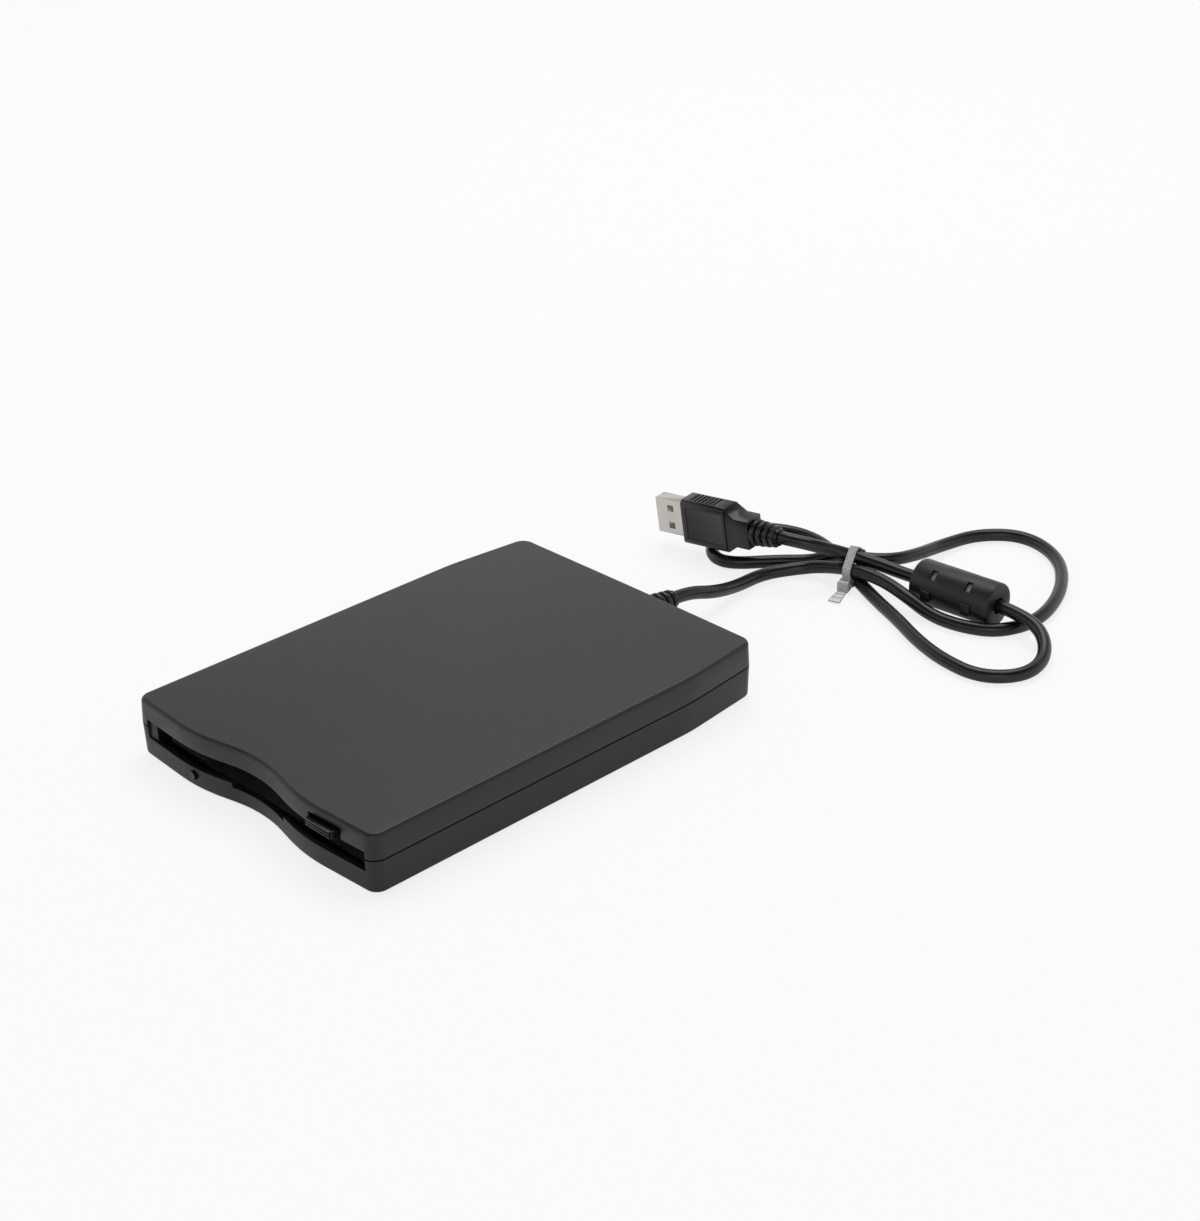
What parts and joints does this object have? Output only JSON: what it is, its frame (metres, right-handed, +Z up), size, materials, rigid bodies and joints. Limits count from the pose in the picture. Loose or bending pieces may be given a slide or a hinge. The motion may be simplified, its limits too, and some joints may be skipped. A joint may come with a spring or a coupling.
{
  "type": "external floppy disk drive",
  "caption": "Slim black external 3.5 inch floppy disk drive with a captive cord, ferrite housing and flat data plug, its cord tied in a hank.",
  "frame": {"origin": "middle of the case, on the surface that its feet stand on", "axes": "+Z up, -Y out of the front with the disk slot, +X to the right seen from above with the front nearest"},
  "size_m": [0.1521, 0.2793, 0.021],
  "materials": {
    "case_plastic": "fine matte texture",
    "button_plastic": "satin",
    "foot_rubber": "matt",
    "sheet_steel": "zinc plated",
    "screw_steel": "dark zinc",
    "turned_steel": "ground",
    "spring_steel": "bright",
    "nickel": "satin nickel",
    "board_laminate": "solder mask",
    "chip_plastic": "matt",
    "white_plastic": "satin",
    "clear_lens": "clear",
    "copper_wire": "enamelled",
    "contact_gold": "bright",
    "magnet_compound": "matt",
    "cast_alloy": "as cast",
    "grey_plastic": "matt",
    "cord_vinyl": "satin",
    "ferrite": "matt",
    "tie_vinyl": "ribbed"
  },
  "bodies": {
    "drive": {"lower_shell": "case_plastic", "upper_shell": "case_plastic", "rubber_feet": "foot_rubber", "case_screws": "screw_steel", "drive_screws": "screw_steel", "led_lens": "clear_lens", "main_board": "board_laminate", "board_parts": "chip_plastic", "chassis": "sheet_steel", "top_cover": "sheet_steel", "left_slider_spring": "spring_steel", "right_slider_spring": "spring_steel", "spindle_bearing": "contact_gold", "stator_core": "sheet_steel", "stator_coils": "copper_wire", "guide_rods": "turned_steel", "motor_bracket": "sheet_steel", "stepper_motor": "turned_steel", "zero_sensor": "chip_plastic", "sensor_bodies": "chip_plastic", "bridge_board": "board_laminate", "bridge_parts": "chip_plastic", "drive_socket": "white_plastic", "bridge_plug": "grey_plastic", "cord_header": "white_plastic", "cord_leads": "copper_wire", "strain_relief": "cord_vinyl", "cord": "cord_vinyl", "ferrite_upper_housing": "case_plastic", "ferrite_lower_housing": "case_plastic", "ferrite_core": "ferrite", "cord_tie": "tie_vinyl", "plug_shell": "nickel", "plug_tongue": "white_plastic", "plug_contacts": "contact_gold", "plug_grip": "cord_vinyl"},
    "slider": {"eject_slider": "sheet_steel", "eject_button": "button_plastic"},
    "cradle": {"disk_cradle": "sheet_steel"},
    "lever": {"shutter_lever": "sheet_steel"},
    "carriage": {"head_carriage": "cast_alloy", "lower_head": "grey_plastic", "arm_pivot_pin": "turned_steel"},
    "head_arm": {"upper_arm": "sheet_steel", "upper_head": "grey_plastic", "arm_spring": "spring_steel"},
    "screw": {"lead_screw": "turned_steel"},
    "spindle": {"spindle_rotor": "turned_steel", "rotor_magnet": "magnet_compound", "chuck_hub": "turned_steel", "drive_pin": "turned_steel"},
    "write_switch": {"write_plunger": "white_plastic"},
    "density_switch": {"density_plunger": "white_plastic"},
    "disk_switch": {"disk_plunger": "white_plastic"}
  },
  "joints": [
    {"name": "eject_slide", "type": "slide", "parent": "drive", "child": "slider", "axis": [0, -1, 0], "range_m": [0, 0.005], "deforming": ["left_slider_spring", "right_slider_spring"]},
    {"name": "cradle_drop", "type": "slide", "parent": "drive", "child": "cradle", "axis": [0, 0, -1], "range_m": [0, 0.0016]},
    {"name": "head_arm_lower", "type": "hinge", "parent": "carriage", "child": "head_arm", "pos_m": [0.0026, 0.056, 0.0104], "axis": [1, 0, 0], "range_deg": [0, 6.5]},
    {"name": "lever_swing", "type": "hinge", "parent": "cradle", "child": "lever", "pos_m": [-0.0264, 0.027, 0.0132], "axis": [0, 0, 1], "range_deg": [0, 75], "stiffness_Nm_per_rad": 0.002},
    {"name": "carriage_slide", "type": "slide", "parent": "drive", "child": "carriage", "axis": [0, -1, 0], "range_m": [0, 0.0148]},
    {"name": "lead_screw_turn", "type": "hinge", "parent": "drive", "child": "screw", "pos_m": [0.0246, 0.04, 0.0093], "axis": [0, 1, 0], "range_deg": [0, 1780]},
    {"name": "spindle_spin", "type": "hinge", "parent": "drive", "child": "spindle", "pos_m": [0.0026, -0.017, 0.004], "axis": [0, 0, 1], "continuous": true},
    {"name": "write_press", "type": "slide", "parent": "drive", "child": "write_switch", "axis": [0, 0, -1], "range_m": [0, 0.001], "stiffness_N_per_m": 100},
    {"name": "density_press", "type": "slide", "parent": "drive", "child": "density_switch", "axis": [0, 0, -1], "range_m": [0, 0.001], "stiffness_N_per_m": 100},
    {"name": "disk_press", "type": "slide", "parent": "drive", "child": "disk_switch", "axis": [0, 0, -1], "range_m": [0, 0.001], "stiffness_N_per_m": 100}
  ],
  "couplings": [
    {"joint": "cradle_drop", "follows": "eject_slide", "ratio": 0.32},
    {"joint": "head_arm_lower", "follows": "eject_slide", "rad_per_m": 22.688},
    {"joint": "lead_screw_turn", "follows": "carriage_slide", "rad_per_m": 2094.4}
  ]
}
